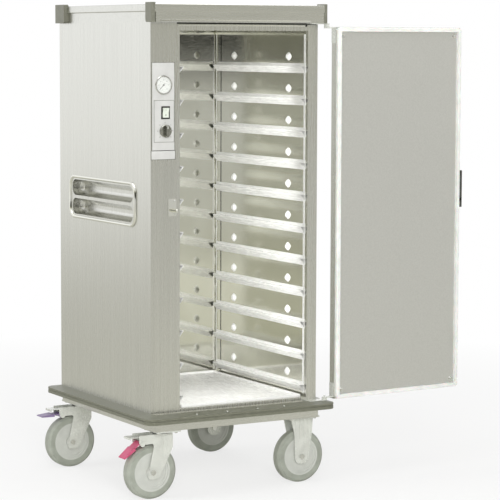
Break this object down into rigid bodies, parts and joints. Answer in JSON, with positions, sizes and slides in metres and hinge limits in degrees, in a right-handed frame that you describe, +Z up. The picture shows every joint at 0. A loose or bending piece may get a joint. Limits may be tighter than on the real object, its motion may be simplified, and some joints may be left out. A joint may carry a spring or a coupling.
{
  "type": "heated banquet trolley",
  "caption": "Insulated stainless steel cabinet trolley with a side-hinged door, container rails, a control pillar and castors.",
  "frame": {"origin": "on the floor under the middle of the cabinet's 700 by 770 mm footprint, between the castors", "axes": "+Z up, -Y towards the person who opens the door, +X to that person's right, where the door is hinged"},
  "size_m": [1.4763, 0.895, 1.804],
  "materials": {
    "bearing_black": "matte",
    "bumper_plastic": "matte",
    "core_plastic": "satin",
    "dial_case": "polished",
    "dial_glass": "gloss",
    "gasket_rubber": "matte",
    "heater_steel": "satin",
    "inlet_black": "matte",
    "insulation_wool": "matte",
    "knob_metal": "satin",
    "latch_grey": "satin",
    "needle_black": "satin",
    "pedal_red": "satin",
    "plate_silver": "satin",
    "rocker_white": "gloss",
    "stainless_polished": "polished",
    "stainless_satin": "satin",
    "switch_black": "satin",
    "thermostat_case": "matte",
    "tyre_grey": "matte",
    "zinc_steel": "satin"
  },
  "bodies": {
    "root": {"axle_front_right": "zinc_steel", "axle_rear_right": "zinc_steel", "back_panel": "stainless_satin", "base_bumper": "bumper_plastic", "base_pan": "stainless_satin", "castor_plates": "stainless_satin", "control_pillar": "stainless_satin", "control_plate": "plate_silver", "corner_bumpers_front": "bumper_plastic", "corner_bumpers_rear": "bumper_plastic", "door_frame": "stainless_satin", "fork_front_right": "zinc_steel", "fork_rear_right": "zinc_steel", "grip_dish": "stainless_polished", "heater_element": "heater_steel", "hinge_bracket_bottom": "stainless_satin", "hinge_bracket_top": "stainless_satin", "liner_left": "stainless_polished", "liner_right": "stainless_polished", "liner_wrap": "stainless_polished", "power_inlet": "inlet_black", "rails_left": "stainless_polished", "rails_right": "stainless_polished", "side_panel_left": "stainless_satin", "side_panel_right": "stainless_satin", "striker": "stainless_satin", "switch_frame": "switch_black", "swivel_bearings": "bearing_black", "thermometer_case": "dial_case", "thermometer_glass": "dial_glass", "thermostat_body": "thermostat_case", "tilt_stops": "stainless_polished", "top_deck": "stainless_satin", "wall_insulation": "insulation_wool"},
    "door": {"door_skin": "stainless_satin", "door_liner": "stainless_polished", "door_gasket": "gasket_rubber", "door_insulation": "insulation_wool", "door_hinge_top": "stainless_satin", "door_hinge_bottom": "stainless_satin", "latch_body": "latch_grey"},
    "latch_lever": {"latch_lever": "latch_grey"},
    "needle": {"thermometer_needle": "needle_black"},
    "rocker": {"switch_rocker": "rocker_white"},
    "knob": {"thermostat_knob": "knob_metal"},
    "wheel_front_left": {"tyre_front_left": "tyre_grey", "wheel_core_front_left": "core_plastic"},
    "castor_front_left": {"fork_front_left": "zinc_steel", "axle_front_left": "zinc_steel"},
    "pedal_front_left": {"brake_pedal_front_left": "pedal_red"},
    "wheel_front_right": {"tyre_front_right": "tyre_grey", "wheel_core_front_right": "core_plastic"},
    "wheel_rear_left": {"tyre_rear_left": "tyre_grey", "wheel_core_rear_left": "core_plastic"},
    "castor_rear_left": {"fork_rear_left": "zinc_steel", "axle_rear_left": "zinc_steel"},
    "pedal_rear_left": {"brake_pedal_rear_left": "pedal_red"},
    "wheel_rear_right": {"tyre_rear_right": "tyre_grey", "wheel_core_rear_right": "core_plastic"}
  },
  "joints": [
    {"name": "door_hinge", "type": "hinge", "parent": "root", "child": "door", "pos_m": [0.3725, -0.412, 1.02], "axis": [0, 0, 1], "range_deg": [-183, 84]},
    {"name": "latch_lever_pivot", "type": "hinge", "parent": "door", "child": "latch_lever", "pos_m": [0.99704, -0.37727, 1.158], "axis": [-0.9986, -0.0523, 0], "range_deg": [0, 25], "stiffness_Nm_per_rad": 0.5, "springref_deg": -11.46},
    {"name": "thermometer_needle_turn", "type": "hinge", "parent": "root", "child": "needle", "pos_m": [-0.2986, -0.387, 1.5086], "axis": [0, 1, 0], "range_deg": [0, 270]},
    {"name": "switch_rocker_tilt", "type": "hinge", "parent": "root", "child": "rocker", "pos_m": [-0.291, -0.387, 1.41], "axis": [1, 0, 0], "range_deg": [-16, 0]},
    {"name": "thermostat_knob_turn", "type": "hinge", "parent": "root", "child": "knob", "pos_m": [-0.292, -0.397, 1.344], "axis": [0, 1, 0], "range_deg": [0, 270]},
    {"name": "castor_swivel_front_left", "type": "hinge", "parent": "root", "child": "castor_front_left", "pos_m": [-0.287, -0.341, 0.24], "axis": [0, 0, 1], "continuous": true},
    {"name": "brake_pedal_tilt_front_left", "type": "hinge", "parent": "castor_front_left", "child": "pedal_front_left", "pos_m": [-0.377, -0.341, 0.208], "axis": [0, 1, 0], "range_deg": [0, 35]},
    {"name": "wheel_spin_front_left", "type": "hinge", "parent": "castor_front_left", "child": "wheel_front_left", "pos_m": [-0.334, -0.341, 0.1], "axis": [0, 1, 0], "continuous": true},
    {"name": "wheel_spin_front_right", "type": "hinge", "parent": "root", "child": "wheel_front_right", "pos_m": [0.299, -0.341, 0.1], "axis": [0, 1, 0], "continuous": true},
    {"name": "castor_swivel_rear_left", "type": "hinge", "parent": "root", "child": "castor_rear_left", "pos_m": [-0.287, 0.347, 0.24], "axis": [0, 0, 1], "continuous": true},
    {"name": "brake_pedal_tilt_rear_left", "type": "hinge", "parent": "castor_rear_left", "child": "pedal_rear_left", "pos_m": [-0.377, 0.347, 0.208], "axis": [0, 1, 0], "range_deg": [-35, 0]},
    {"name": "wheel_spin_rear_left", "type": "hinge", "parent": "castor_rear_left", "child": "wheel_rear_left", "pos_m": [-0.334, 0.347, 0.1], "axis": [0, 1, 0], "continuous": true},
    {"name": "wheel_spin_rear_right", "type": "hinge", "parent": "root", "child": "wheel_rear_right", "pos_m": [0.299, 0.347, 0.1], "axis": [0, 1, 0], "continuous": true}
  ]
}
